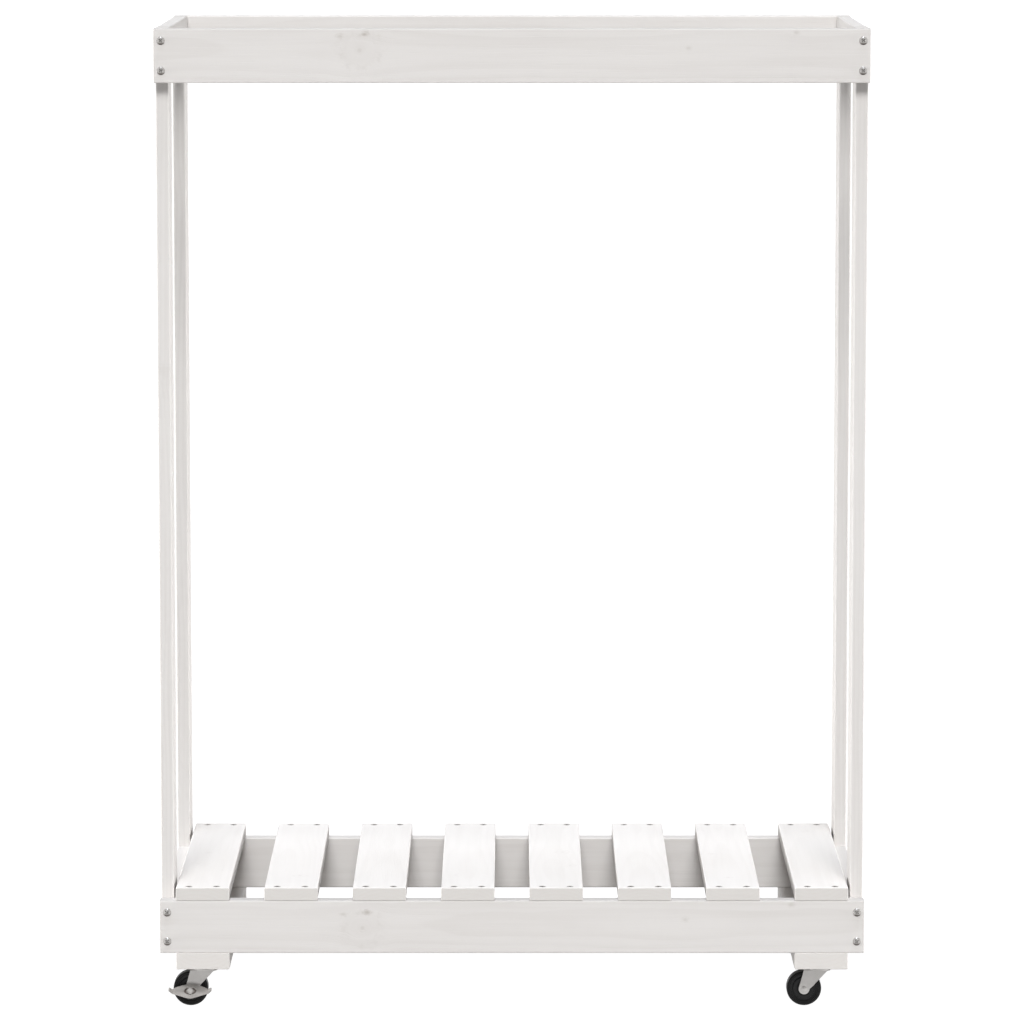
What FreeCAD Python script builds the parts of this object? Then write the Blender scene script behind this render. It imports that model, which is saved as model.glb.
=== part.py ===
"""Firewood log rack: a tall open frame of planed pine boards that stands on four small swivel casters.

Millimetres, +Z up, the front faces -Y. The origin is the centre of the footprint on the floor.
Two posts and two side rails make each end frame. Long rails join the end frames at the front and
the rear, at the top and the bottom. Eight slats lie across the bottom rails as the deck, and two
caster boards under the bottom rails carry the casters.
"""

import FreeCAD, Part
import math
import os
from collections import namedtuple

V = FreeCAD.Vector
ORIGIN = V(0, 0, 0)
X_AXIS = V(1, 0, 0)
Y_AXIS = V(0, 1, 0)
Z_AXIS = V(0, 0, 1)
SIDES = (("left", -1), ("right", 1))
ENDS = (("front", -1), ("rear", 1))

# Overall size, without the screw heads that stand proud of the long rails.
RACK_W = 765.0
RACK_D = 400.0
RACK_H = 1070.0

# Timber sections. A board's width is measured across its face.
RAIL_W = 58.0
RAIL_T = 18.0
SIDE_RAIL_W = 58.0
POST_W = 54.0
POST_T = 14.0
SLAT_W = 58.0
SLAT_T = 14.0
CASTER_BOARD_W = 58.0
CASTER_BOARD_T = 18.0
SLAT_COUNT = 8
POST_INSET = 1.0            # from a rail's end to the outer face of its post
SLAT_POST_GAP = 2.5         # between an outer slat and the posts beside it
LONG_EDGE_R = 1.5           # easing along the grain
END_EDGE_C = 0.4            # small bevel round the sawn ends

# Fasteners. Length is measured from the seat for a pan head, and from the surface for a flush head.
Screw = namedtuple("Screw", "shank_r length head_r head_h flush")
RAIL_SCREW = Screw(shank_r=2.0, length=50.0, head_r=4.5, head_h=2.6, flush=False)
SLAT_SCREW = Screw(shank_r=1.9, length=35.0, head_r=3.9, head_h=2.4, flush=True)
BOARD_SCREW = Screw(shank_r=2.0, length=42.0, head_r=4.0, head_h=2.5, flush=True)
PLATE_SCREW = Screw(shank_r=1.6, length=14.0, head_r=3.3, head_h=1.8, flush=False)
RAIL_SCREW_EDGE = 13.0      # from a rail's edge to its screws
SLAT_SCREW_SPAN = 30.0      # between the two screws at a slat's end
BOARD_SCREW_SPAN = 30.0
SCREW_CLEAR = 0.05          # radial, round a shank or a flush head
FLUSH_SINK = 0.3            # a flush head lies this far below the surface
TIP_LENGTH = 3.0
RECESS_W = 1.0
DOWEL_R = 4.0
DOWEL_L = 30.0
DOWEL_SPAN = 26.0
DOWEL_CLEAR = 0.05

# Caster, in the order of its stack from the floor to its plate.
WHEEL_D = 38.0
WHEEL_TOP_GAP = 1.8         # between the tyre and the fork's web
FORK_T = 1.8
CROWN_RISE = 1.6            # the fork's crown is pressed up by this
RACE_GAP = 2.0              # between the crown and the plate's dish
DISH_DROP = 2.8             # the plate's dish is pressed down by this
PLATE_T = 2.0
CASTER_H = WHEEL_D + WHEEL_TOP_GAP + FORK_T + CROWN_RISE + RACE_GAP + DISH_DROP + PLATE_T

CASTER_END_INSET = 56.0     # from the end of a caster board to the swivel axis
TRAIL = 16.0                # from the swivel axis back to the axle
PLATE_SIDE = 42.0
PLATE_CORNER_R = 4.0
PLATE_SCREW_SPAN = 30.0
PLATE_HOLE_CLEAR = 0.3
DISH_FLAT_R = 12.5
CROWN_FLAT_R = 12.0
CROWN_FLANGE = 1.4          # flat rim outside the crown's cone
BALL_R = 1.75
BALL_PITCH_R = 9.5
BALL_CLEAR = 0.1
BALL_SPACING = 1.2
PIN_R = 3.0
PIN_HEAD_R = 6.0
PIN_HEAD_H = 1.8
PIN_FOOT_R = 4.8
PIN_FOOT_H = 1.5
WASHER_R = 8.5
WASHER_T = 1.2
WASHER_GAP = 0.3
FIXED_CLEAR = 0.03          # radial, where a pin is riveted tight
RUNNING_CLEAR = 0.08        # radial, where a part turns on a pin

WHEEL_W = 16.0
HUB_PROUD = 0.9             # the hub stands this far out of the tyre's side
SIDE_GAP = 0.3              # between the hub and a fork leg
AXLE_R = 2.0
AXLE_HEAD_R = 3.2
AXLE_HEAD_H = 1.2
TYRE_T = 3.4
TYRE_SHOULDER_R = 2.2
RIM_W = 1.2
RIM_SINK = 0.8              # each SINK is measured in from the tyre's side
GROOVE_W = 2.2
GROOVE_SINK = 3.2
WEB_SINK = 1.5
HUB_R = 5.2
LEG_END_R = 5.9
FORK_FRONT = 12.4           # from the swivel axis to the fork's front edge
FORK_BACK = 15.8
FRONT_LIP = 1.2
BEND_R = 0.9                # inside radius where the web folds into a leg

# Brake lever, a pressed plate that rocks on the longer axle of a braked caster.
BRAKED = ("front_left", "rear_right")
LEVER_T = 1.2
LEVER_HALF_W = 20.0         # from the axle to the fold of an ear
LEVER_HALF_D = 11.0
LEVER_NOSE_R = 8.0
LEVER_FOLD_HALF = 4.0
LEVER_RISE = 45.0           # slope of the plate above the horizontal
LEVER_GAP = 0.6             # between the plate's upper edge and the fork leg
EAR_L = 5.5
EAR_ANGLE = 50.0
EAR_TIP_HALF = 2.6
SLEEVE_R = 4.0
SLEEVE_GAP = 0.3
SLEEVE_PROUD = 1.0
EYE_HALF_W = 6.4
EYE_HALF_D = 4.9
EYE_RIM_W = 1.1
EYE_RIM_H = 0.7
HEAD_GAP = 0.1
POCKET_CLEAR = 0.5

# Levels and places that follow from the sizes above.
DECK_RAIL_LOW = CASTER_H + CASTER_BOARD_T
DECK_RAIL_HIGH = DECK_RAIL_LOW + RAIL_W
DECK_TOP = DECK_RAIL_HIGH + SLAT_T
TOP_RAIL_LOW = RACK_H - RAIL_W
POST_X = RACK_W / 2 - POST_INSET - POST_T / 2
RAIL_Y = RACK_D / 2 - RAIL_T / 2
POST_OUTER_Y = RACK_D / 2 - RAIL_T
POST_INNER_Y = POST_OUTER_Y - POST_W
OUTER_SLAT_X = POST_X - POST_T / 2 - SLAT_POST_GAP - SLAT_W / 2
SLAT_PITCH = 2 * OUTER_SLAT_X / (SLAT_COUNT - 1)
SLAT_X = [-OUTER_SLAT_X + i * SLAT_PITCH for i in range(SLAT_COUNT)]
CASTER_Y = RACK_D / 2 - CASTER_END_INSET
CASTER_PLACES = {f"{end}_{side}": V(sx * OUTER_SLAT_X, sy * CASTER_Y, 0)
                 for end, sy in ENDS for side, sx in SIDES}

WHEEL_R = WHEEL_D / 2
AXLE_AT = V(-TRAIL, 0, WHEEL_R)
PLATE_UNDER = CASTER_H - PLATE_T
DISH_UNDER = PLATE_UNDER - DISH_DROP
CROWN_TOP = DISH_UNDER - RACE_GAP
WEB_TOP = CROWN_TOP - CROWN_RISE
WEB_UNDER = WEB_TOP - FORK_T
CROWN_UNDER = CROWN_TOP - FORK_T
CROWN_R = CROWN_FLAT_R + CROWN_RISE + CROWN_FLANGE
BALL_Z = (DISH_UNDER + CROWN_TOP) / 2
HUB_HALF_W = WHEEL_W / 2 + HUB_PROUD
LEG_INNER_Y = HUB_HALF_W + SIDE_GAP
LEG_OUTER_Y = LEG_INNER_Y + FORK_T
LEVER_SLOPE = math.radians(LEVER_RISE)
LEVER_Y = -(LEG_OUTER_Y + LEVER_GAP + LEVER_HALF_D * math.cos(LEVER_SLOPE)
            + LEVER_T * math.sin(LEVER_SLOPE))


def box(x0, x1, y0, y1, z0, z1):
    """A block between two values on each axis, in either order."""
    low = V(min(x0, x1), min(y0, y1), min(z0, z1))
    return Part.makeBox(abs(x1 - x0), abs(y1 - y0), abs(z1 - z0), low)


def placed(shape, position, outward):
    """A copy with its local +Z turned to point outward, moved to position."""
    copy = shape.copy()
    copy.Placement = FreeCAD.Placement(position, FreeCAD.Rotation(Z_AXIS, outward))
    return copy


def revolved(points):
    """A solid of revolution about Z from a closed outline of (radius, height) points."""
    corners = [V(r, 0, z) for r, z in points]
    face = Part.Face(Part.makePolygon(corners + corners[:1]))
    return face.revolve(ORIGIN, Z_AXIS, 360)


def edges_along(solid, direction):
    """The straight edges of a solid that run along a direction."""
    return [e for e in solid.Edges
            if isinstance(e.Curve, Part.Line) and abs(e.Curve.Direction.dot(direction)) > 0.99]


def board(low, high, grain):
    """A planed board between two corners, eased along its grain and bevelled at its sawn ends."""
    solid = box(low[0], high[0], low[1], high[1], low[2], high[2])
    eased = solid.makeFillet(LONG_EDGE_R, edges_along(solid, grain))
    ends = [f for f in eased.Faces
            if isinstance(f.Surface, Part.Plane) and abs(f.Surface.Axis.dot(grain)) > 0.99]
    return eased.makeChamfer(END_EDGE_C, [e for f in ends for e in f.Edges])


def dome(radius, height, rim):
    """A domed disc that stands on z = 0, with an upright rim below a spherical top."""
    rise = height - rim
    ball_r = (radius ** 2 + rise ** 2) / (2 * rise)
    blank = Part.makeCylinder(radius, height)
    return blank.common(Part.makeSphere(ball_r, V(0, 0, height - ball_r)))


def screw(kind):
    """One wood screw, its seat on z = 0 and its point down -Z, with a crossed driver recess."""
    top = -FLUSH_SINK if kind.flush else kind.head_h
    neck = -FLUSH_SINK - kind.head_h if kind.flush else 0.0
    shank = [(0, neck), (kind.shank_r, neck), (kind.shank_r, TIP_LENGTH - kind.length), (0, -kind.length)]
    body = revolved(shank)
    if kind.flush:
        head = Part.makeCone(kind.shank_r, kind.head_r, kind.head_h, V(0, 0, neck))
    else:
        head = dome(kind.head_r, kind.head_h, kind.head_h / 4)
    solid = body.fuse(head).removeSplitter()
    reach = kind.head_r * 0.55
    depth = kind.head_h * 0.55
    for half_x, half_y in ((reach, RECESS_W / 2), (RECESS_W / 2, reach)):
        solid = solid.cut(box(-half_x, half_x, -half_y, half_y, top - depth, top + 1))
    return solid


def screw_hole(kind):
    """The space that a screw's shank takes in the wood, with its countersink for a flush head."""
    radius = kind.shank_r + SCREW_CLEAR
    tip = TIP_LENGTH - kind.length
    outline = [(0, 1), (radius, 1), (radius, tip), (0, -kind.length - SCREW_CLEAR * 2)]
    if kind.flush:
        mouth = kind.head_r + SCREW_CLEAR
        neck = -FLUSH_SINK - kind.head_h
        outline = [(0, 1), (mouth, 1), (mouth, -FLUSH_SINK), (radius, neck)] + outline[2:]
    return revolved(outline)


def at_each(seats, shape):
    """Copies of one shape at every (position, outward direction) seat."""
    return [placed(shape, position, outward) for position, outward in seats]


def rail_screw_seats():
    """Two pan-head screws at each end of each long rail, driven into the edge of a post."""
    heights = [low + edge for low in (DECK_RAIL_LOW, TOP_RAIL_LOW)
               for edge in (RAIL_SCREW_EDGE, RAIL_W - RAIL_SCREW_EDGE)]
    return [(V(sx * POST_X, sy * RACK_D / 2, z), V(0, sy, 0))
            for _, sx in SIDES for _, sy in ENDS for z in heights]


def slat_screw_seats():
    """Two flush screws at each end of each slat, on the rail's centre line."""
    return [(V(x + side * SLAT_SCREW_SPAN / 2, sy * RAIL_Y, DECK_TOP), Z_AXIS)
            for x in SLAT_X for side in (-1, 1) for _, sy in ENDS]


def board_screw_seats():
    """Two flush screws at each end of each caster board, driven up into the bottom rails."""
    return [(V(sx * OUTER_SLAT_X + side * BOARD_SCREW_SPAN / 2, sy * RAIL_Y, CASTER_H), -Z_AXIS)
            for _, sx in SIDES for side in (-1, 1) for _, sy in ENDS]


def plate_screw_seats():
    """Four pan-head screws up through each caster plate."""
    half = PLATE_SCREW_SPAN / 2
    return [(centre + V(dx * half, dy * half, PLATE_UNDER), -Z_AXIS)
            for centre in CASTER_PLACES.values() for dx in (-1, 1) for dy in (-1, 1)]


def dowel_seats():
    """Two dowels across each joint between a side rail and a post."""
    rail_middles = (DECK_RAIL_LOW + SIDE_RAIL_W / 2, RACK_H - SIDE_RAIL_W / 2)
    return [(V(sx * POST_X, sy * POST_INNER_Y, z + side * DOWEL_SPAN / 2), Y_AXIS)
            for _, sx in SIDES for _, sy in ENDS for z in rail_middles for side in (-1, 1)]


def dowel(radius, length):
    """A dowel centred on its joint."""
    return Part.makeCylinder(radius, length, V(0, 0, -length / 2))


def drilled(wood, holes):
    """The board with every hole that reaches it."""
    return wood.cut([hole for hole in holes if hole.BoundBox.intersect(wood.BoundBox)])


def frame_boards():
    """Posts, long rails and side rails by node name."""
    boards = {}
    for end, sy in ENDS:
        for side, sx in SIDES:
            boards[f"{end}_{side}_post"] = board(
                (sx * (POST_X - POST_T / 2), sy * POST_INNER_Y, DECK_RAIL_LOW),
                (sx * (POST_X + POST_T / 2), sy * POST_OUTER_Y, RACK_H), Z_AXIS)
        for level, low in (("bottom", DECK_RAIL_LOW), ("top", TOP_RAIL_LOW)):
            boards[f"{level}_{end}_rail"] = board(
                (-RACK_W / 2, sy * POST_OUTER_Y, low),
                (RACK_W / 2, sy * RACK_D / 2, low + RAIL_W), X_AXIS)
    for side, sx in SIDES:
        for level, low in (("bottom", DECK_RAIL_LOW), ("top", RACK_H - SIDE_RAIL_W)):
            boards[f"{level}_{side}_side_rail"] = board(
                (sx * (POST_X - POST_T / 2), -POST_INNER_Y, low),
                (sx * (POST_X + POST_T / 2), POST_INNER_Y, low + SIDE_RAIL_W), Y_AXIS)
    return boards


def deck_boards():
    """The deck slats and the two caster boards by node name."""
    boards = {}
    for number, x in enumerate(SLAT_X, start=1):
        boards[f"deck_slat_{number}"] = board(
            (x - SLAT_W / 2, -RACK_D / 2, DECK_RAIL_HIGH),
            (x + SLAT_W / 2, RACK_D / 2, DECK_TOP), Y_AXIS)
    for side, sx in SIDES:
        x = sx * OUTER_SLAT_X
        boards[f"{side}_caster_board"] = board(
            (x - CASTER_BOARD_W / 2, -RACK_D / 2, CASTER_H),
            (x + CASTER_BOARD_W / 2, RACK_D / 2, DECK_RAIL_LOW), Y_AXIS)
    return boards


def ball_groove():
    """The ring-shaped space that the balls roll in, a little larger than the balls."""
    return Part.makeTorus(BALL_PITCH_R, BALL_R + BALL_CLEAR, V(0, 0, BALL_Z))


def caster_plate():
    """A square steel plate with four screw holes and a pressed dish for the ball race."""
    half = PLATE_SIDE / 2
    square = box(-half, half, -half, half, PLATE_UNDER, CASTER_H)
    square = square.makeFillet(PLATE_CORNER_R, edges_along(square, Z_AXIS))
    cone_r = DISH_FLAT_R + DISH_DROP
    lip_r = cone_r + PLATE_T / 2
    bore = PIN_R + FIXED_CLEAR
    square = square.cut(Part.makeCylinder(lip_r, CASTER_H))
    dish = revolved([(bore, DISH_UNDER), (DISH_FLAT_R, DISH_UNDER), (cone_r, PLATE_UNDER),
                     (lip_r, PLATE_UNDER), (lip_r, CASTER_H), (cone_r - PLATE_T / 4, CASTER_H),
                     (DISH_FLAT_R - PLATE_T / 4, CASTER_H - DISH_DROP), (bore, CASTER_H - DISH_DROP)])
    plate = square.fuse(dish).removeSplitter().cut(ball_groove())
    spot = PLATE_SCREW_SPAN / 2
    hole_r = PLATE_SCREW.shank_r + PLATE_HOLE_CLEAR
    holes = [Part.makeCylinder(hole_r, CASTER_H, V(dx * spot, dy * spot, 0))
             for dx in (-1, 1) for dy in (-1, 1)]
    return plate.cut(holes)


def king_pin():
    """The rivet that holds the fork to the plate: head in the dish, foot under the washer."""
    head_low = CASTER_H - DISH_DROP
    foot_top = CROWN_UNDER - WASHER_GAP - WASHER_T
    foot_low = foot_top - PIN_FOOT_H
    return revolved([(0, foot_low), (PIN_FOOT_R, foot_low), (PIN_FOOT_R, foot_top), (PIN_R, foot_top),
                     (PIN_R, head_low), (PIN_HEAD_R, head_low), (PIN_HEAD_R, head_low + PIN_HEAD_H),
                     (0, head_low + PIN_HEAD_H)])


def pin_washer():
    """The washer that the pin's foot clamps under the crown, inside its pressing."""
    top = CROWN_UNDER - WASHER_GAP
    bore = PIN_R + FIXED_CLEAR
    return revolved([(bore, top - WASHER_T), (WASHER_R, top - WASHER_T), (WASHER_R, top), (bore, top)])


def bearing_balls():
    """The ring of steel balls between the plate's dish and the crown."""
    count = int(2 * math.pi * BALL_PITCH_R / (2 * BALL_R + BALL_SPACING))
    turns = [2 * math.pi * i / count for i in range(count)]
    return [Part.makeSphere(BALL_R, V(BALL_PITCH_R * math.cos(a), BALL_PITCH_R * math.sin(a), BALL_Z))
            for a in turns]


def leg_outline():
    """The fork's side outline: a round end at the axle, a leaning back edge and a sloped front edge."""
    x, z = AXLE_AT.x, AXLE_AT.z
    back_top = V(-FORK_BACK, 0, WEB_TOP)
    reach = math.hypot(back_top.x - x, back_top.z - z)
    bearing = math.atan2(back_top.z - z, back_top.x - x)
    touch = bearing + math.acos(LEG_END_R / reach)
    back_low = V(x + LEG_END_R * math.cos(touch), 0, z + LEG_END_R * math.sin(touch))
    bottom = V(x, 0, z - LEG_END_R)
    front_low = V(x + LEG_END_R, 0, z)
    front_lip = V(FORK_FRONT, 0, WEB_UNDER - FRONT_LIP)
    front_top = V(FORK_FRONT, 0, WEB_TOP)
    return Part.Wire([Part.makeLine(back_top, back_low),
                      Part.Arc(back_low, bottom, front_low).toShape(),
                      Part.makeLine(front_low, front_lip),
                      Part.makeLine(front_lip, front_top),
                      Part.makeLine(front_top, back_top)])


def fork():
    """The pressed fork: two legs folded down from a web, with a raised round crown."""
    far = PLATE_SIDE
    outer = box(-far, far, -LEG_OUTER_Y, LEG_OUTER_Y, 0, WEB_TOP)
    inner = box(-far, far, -LEG_INNER_Y, LEG_INNER_Y, 0, WEB_UNDER)
    outer = outer.makeFillet(BEND_R + FORK_T, [e for e in edges_along(outer, X_AXIS)
                                               if e.CenterOfMass.z > WEB_UNDER])
    inner = inner.makeFillet(BEND_R, [e for e in edges_along(inner, X_AXIS)
                                      if e.CenterOfMass.z > WHEEL_R])
    prism = Part.Face(leg_outline()).extrude(V(0, 2 * LEG_OUTER_Y, 0))
    prism.translate(V(0, -LEG_OUTER_Y, 0))
    channel = outer.cut(inner).common(prism)
    bore = PIN_R + RUNNING_CLEAR
    inner_flat = CROWN_FLAT_R - FORK_T / 4
    crown = revolved([(bore, CROWN_UNDER), (inner_flat, CROWN_UNDER), (inner_flat + CROWN_RISE, WEB_UNDER),
                      (CROWN_R, WEB_UNDER), (CROWN_R, WEB_TOP), (CROWN_FLAT_R + CROWN_RISE, WEB_TOP),
                      (CROWN_FLAT_R, CROWN_TOP), (bore, CROWN_TOP)])
    pocket = Part.makeCylinder(inner_flat, CROWN_UNDER, ORIGIN)
    pocket = pocket.common(box(-far, far, -LEG_INNER_Y, LEG_INNER_Y, WHEEL_R, CROWN_UNDER))
    axle_hole = Part.makeCylinder(AXLE_R + FIXED_CLEAR, 4 * LEG_OUTER_Y,
                                  AXLE_AT - V(0, 2 * LEG_OUTER_Y, 0), Y_AXIS)
    pin_hole = Part.makeCylinder(bore, CASTER_H)
    return channel.cut(pocket).fuse(crown).removeSplitter().cut([ball_groove(), pin_hole, axle_hole])


def axle(braked):
    """The riveted axle, with a low head outside each leg, or outside the lever's sleeve."""
    front = LEVER_Y - SLEEVE_PROUD - HEAD_GAP if braked else -LEG_OUTER_Y
    shank = Part.makeCylinder(AXLE_R, LEG_OUTER_Y - front, V(AXLE_AT.x, front, AXLE_AT.z), Y_AXIS)
    head = dome(AXLE_HEAD_R, AXLE_HEAD_H, AXLE_HEAD_H / 4)
    front_head = placed(head, V(AXLE_AT.x, front, AXLE_AT.z), -Y_AXIS)
    rear_head = placed(head, V(AXLE_AT.x, LEG_OUTER_Y, AXLE_AT.z), Y_AXIS)
    return shank.fuse([front_head, rear_head]).removeSplitter()


def on_axle(outline):
    """A solid of revolution about the axle from the half of its outline on one side of the wheel."""
    other_half = [(r, -w) for r, w in reversed(outline)]
    return placed(revolved(outline + other_half), AXLE_AT, Y_AXIS)


def wheel():
    """The moulded wheel centre: hub, web, a groove and the rim that holds the tyre."""
    side = WHEEL_W / 2
    rim_r = WHEEL_R - TYRE_T
    groove_outer = rim_r - RIM_W
    groove_inner = groove_outer - GROOVE_W
    return on_axle([(AXLE_R + RUNNING_CLEAR, HUB_HALF_W), (HUB_R, HUB_HALF_W), (HUB_R, side - WEB_SINK),
                    (groove_inner, side - WEB_SINK), (groove_inner, side - GROOVE_SINK),
                    (groove_outer, side - GROOVE_SINK), (groove_outer, side - RIM_SINK),
                    (rim_r, side - RIM_SINK)])


def tyre():
    """The tread ring with rounded shoulders."""
    side = WHEEL_W / 2
    ring = on_axle([(WHEEL_R - TYRE_T, side), (WHEEL_R, side)])
    shoulders = [e for e in ring.Edges
                 if isinstance(e.Curve, Part.Circle) and abs(e.Curve.Radius - WHEEL_R) < 0.01]
    return ring.makeFillet(TYRE_SHOULDER_R, shoulders)


def lever_strip():
    """The bent strip that the lever is pressed from, seen along its folds, as deep as the plate."""
    angle = math.radians(EAR_ANGLE)
    tip_x = LEVER_HALF_W + EAR_L * math.cos(angle)
    tip_z = EAR_L * math.sin(angle)
    inner_x = LEVER_HALF_W - LEVER_T * math.tan(angle / 2)
    under = [(LEVER_HALF_W, 0), (tip_x, tip_z)]
    over = [(tip_x - LEVER_T * math.sin(angle), tip_z + LEVER_T * math.cos(angle)), (inner_x, LEVER_T)]
    right = under + over
    left = [(-x, z) for x, z in reversed(right)]
    corners = [V(x, -LEVER_HALF_D, z) for x, z in right + left]
    return Part.Face(Part.makePolygon(corners + corners[:1])).extrude(V(0, 2 * LEVER_HALF_D, 0))


def lever_outline():
    """The lever's outline in its own plane: a long hexagon with a rounded nose and back."""
    tip_x = LEVER_HALF_W + EAR_L
    right = [(tip_x, -EAR_TIP_HALF), (tip_x, EAR_TIP_HALF), (LEVER_HALF_W, LEVER_FOLD_HALF),
             (0, LEVER_HALF_D)]
    left = [(-x, y) for x, y in reversed(right[:3])]
    corners = [V(x, y, -LEVER_T) for x, y in right + left + [(-LEVER_HALF_W, -LEVER_FOLD_HALF),
               (0, -LEVER_HALF_D), (LEVER_HALF_W, -LEVER_FOLD_HALF)]]
    prism = Part.Face(Part.makePolygon(corners + corners[:1])).extrude(V(0, 0, EAR_L + 2 * LEVER_T))
    noses = [e for e in edges_along(prism, Z_AXIS) if abs(e.CenterOfMass.x) < 0.01]
    return prism.makeFillet(LEVER_NOSE_R, noses)


def ellipse_prism(half_w, half_d, height):
    """An upright prism with an elliptical outline that is widest along X."""
    curve = Part.Ellipse(ORIGIN, half_w, half_d)
    return Part.Face(Part.Wire(curve.toShape())).extrude(V(0, 0, height))


def brake_lever():
    """The pressed brake lever: a sloped plate with two ears, a raised eye and a sleeve on the axle."""
    plate = lever_strip().common(lever_outline())
    top = LEVER_T + EYE_RIM_H
    rim = ellipse_prism(EYE_HALF_W, EYE_HALF_D, top).cut(
        ellipse_prism(EYE_HALF_W - EYE_RIM_W, EYE_HALF_D - EYE_RIM_W, top))
    pressing = plate.fuse(rim)
    pressing.Placement = FreeCAD.Placement(V(AXLE_AT.x, LEVER_Y, AXLE_AT.z),
                                           FreeCAD.Rotation(X_AXIS, LEVER_RISE))
    sleeve_front = LEVER_Y - SLEEVE_PROUD
    sleeve_back = -LEG_OUTER_Y - SLEEVE_GAP
    sleeve = Part.makeCylinder(SLEEVE_R, sleeve_back - sleeve_front,
                               V(AXLE_AT.x, sleeve_front, AXLE_AT.z), Y_AXIS)
    far = LEVER_HALF_D + LEVER_T
    pocket = Part.makeCylinder(AXLE_HEAD_R + POCKET_CLEAR, far,
                               V(AXLE_AT.x, sleeve_front, AXLE_AT.z), -Y_AXIS)
    bore = Part.makeCylinder(AXLE_R + RUNNING_CLEAR, 4 * far,
                             V(AXLE_AT.x, sleeve_back + far, AXLE_AT.z), -Y_AXIS)
    return pressing.fuse(sleeve).removeSplitter().cut([pocket, bore])


def caster_parts():
    """The separate pieces of the four casters by node name."""
    parts = {}
    for corner, place in CASTER_PLACES.items():
        pieces = {"caster_plate": caster_plate(),
                  "king_pin": king_pin(),
                  "bearing_balls": Part.makeCompound(bearing_balls()),
                  "fork": fork(),
                  "axle": axle(corner in BRAKED),
                  "wheel": wheel(),
                  "tyre": tyre()}
        if corner in BRAKED:
            pieces["brake_lever"] = brake_lever()
        for piece, shape in pieces.items():
            shape.translate(place)
            parts[f"{corner}_{piece}"] = shape
    return parts


def fasteners():
    """Groups of identical screws, dowels and washers by node name."""
    washers = [placed(pin_washer(), place, Z_AXIS) for place in CASTER_PLACES.values()]
    groups = {"rail_screws": at_each(rail_screw_seats(), screw(RAIL_SCREW)),
              "slat_screws": at_each(slat_screw_seats(), screw(SLAT_SCREW)),
              "caster_board_screws": at_each(board_screw_seats(), screw(BOARD_SCREW)),
              "caster_plate_screws": at_each(plate_screw_seats(), screw(PLATE_SCREW)),
              "side_frame_dowels": at_each(dowel_seats(), dowel(DOWEL_R, DOWEL_L)),
              "king_pin_washers": washers}
    return {name: Part.makeCompound(solids) for name, solids in groups.items()}


def wood_holes():
    """Every hole that the fasteners need in the boards."""
    drill = dowel(DOWEL_R + DOWEL_CLEAR, DOWEL_L + 2 * DOWEL_CLEAR)
    return (at_each(rail_screw_seats(), screw_hole(RAIL_SCREW))
            + at_each(slat_screw_seats(), screw_hole(SLAT_SCREW))
            + at_each(board_screw_seats(), screw_hole(BOARD_SCREW))
            + at_each(plate_screw_seats(), screw_hole(PLATE_SCREW))
            + at_each(dowel_seats(), drill))


def main():
    """Builds every piece and writes one STEP file for each node."""
    holes = wood_holes()
    boards = {**frame_boards(), **deck_boards()}
    nodes = {name: drilled(wood, holes) for name, wood in boards.items()}
    nodes.update(fasteners())
    nodes.update(caster_parts())
    os.makedirs("parts", exist_ok=True)
    for name, shape in nodes.items():
        shape.exportStep(f"parts/{name}.step")
        print(f"{name}: {len(shape.Solids)} solids, {shape.Volume / 1000:.2f} cm3")


if __name__ == "__main__":
    main()
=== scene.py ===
"""The looks of a firewood log rack: white-stained pine boards, plated screws and small black casters.

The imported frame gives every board, screw and caster piece its place. The classes below dress the
boards with a solid pattern of growth rings and knots, and build the finer metal and rubber pieces.
"""

import logging
import math
import random
from dataclasses import dataclass
from enum import Enum
from typing import Any, Sequence, Union

import bmesh
import bpy
from mathutils import Matrix, Vector

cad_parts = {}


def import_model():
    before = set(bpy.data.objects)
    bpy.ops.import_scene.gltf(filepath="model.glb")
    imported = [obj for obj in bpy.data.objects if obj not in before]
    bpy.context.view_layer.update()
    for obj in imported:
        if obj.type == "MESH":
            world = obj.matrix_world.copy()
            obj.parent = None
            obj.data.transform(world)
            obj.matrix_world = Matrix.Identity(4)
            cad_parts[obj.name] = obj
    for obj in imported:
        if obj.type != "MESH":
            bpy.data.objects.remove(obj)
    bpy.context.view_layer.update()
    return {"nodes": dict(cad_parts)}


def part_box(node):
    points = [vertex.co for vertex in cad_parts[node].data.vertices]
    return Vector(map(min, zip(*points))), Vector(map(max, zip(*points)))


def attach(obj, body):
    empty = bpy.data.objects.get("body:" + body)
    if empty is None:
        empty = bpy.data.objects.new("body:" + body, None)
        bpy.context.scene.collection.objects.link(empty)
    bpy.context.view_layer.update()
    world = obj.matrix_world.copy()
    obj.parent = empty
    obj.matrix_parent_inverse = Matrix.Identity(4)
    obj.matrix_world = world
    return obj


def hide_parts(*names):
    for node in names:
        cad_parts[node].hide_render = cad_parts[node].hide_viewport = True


log = logging.getLogger("log_rack")

Colour = tuple[float, float, float]
Number = Union[int, float]
MM = 0.001
WELD = 1e-7
TURNED_CREASE, PRESSED_CREASE = math.radians(38.0), math.radians(30.0)
EYE_HALF_W, EYE_HALF_H = 5.8 * MM, 2.75 * MM
RIM_FOOT, RIM_BLEND = 1.011, 0.004
RIGHT, LEFT = (1.0, 0.0, 0.0), (-1.0, 0.0, 0.0)
FRONT, REAR = (0.0, -1.0, 0.0), (0.0, 1.0, 0.0)
UP, DOWN = (0.0, 0.0, 1.0), (0.0, 0.0, -1.0)
CORNERS = ("front_left", "front_right", "rear_left", "rear_right")
BRAKED_CORNERS = ("front_left", "rear_right")


class Axis(Enum):
    """A direction of the rack's frame, numbered as a vector's components are."""

    X = 0
    Y = 1
    Z = 2


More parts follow.
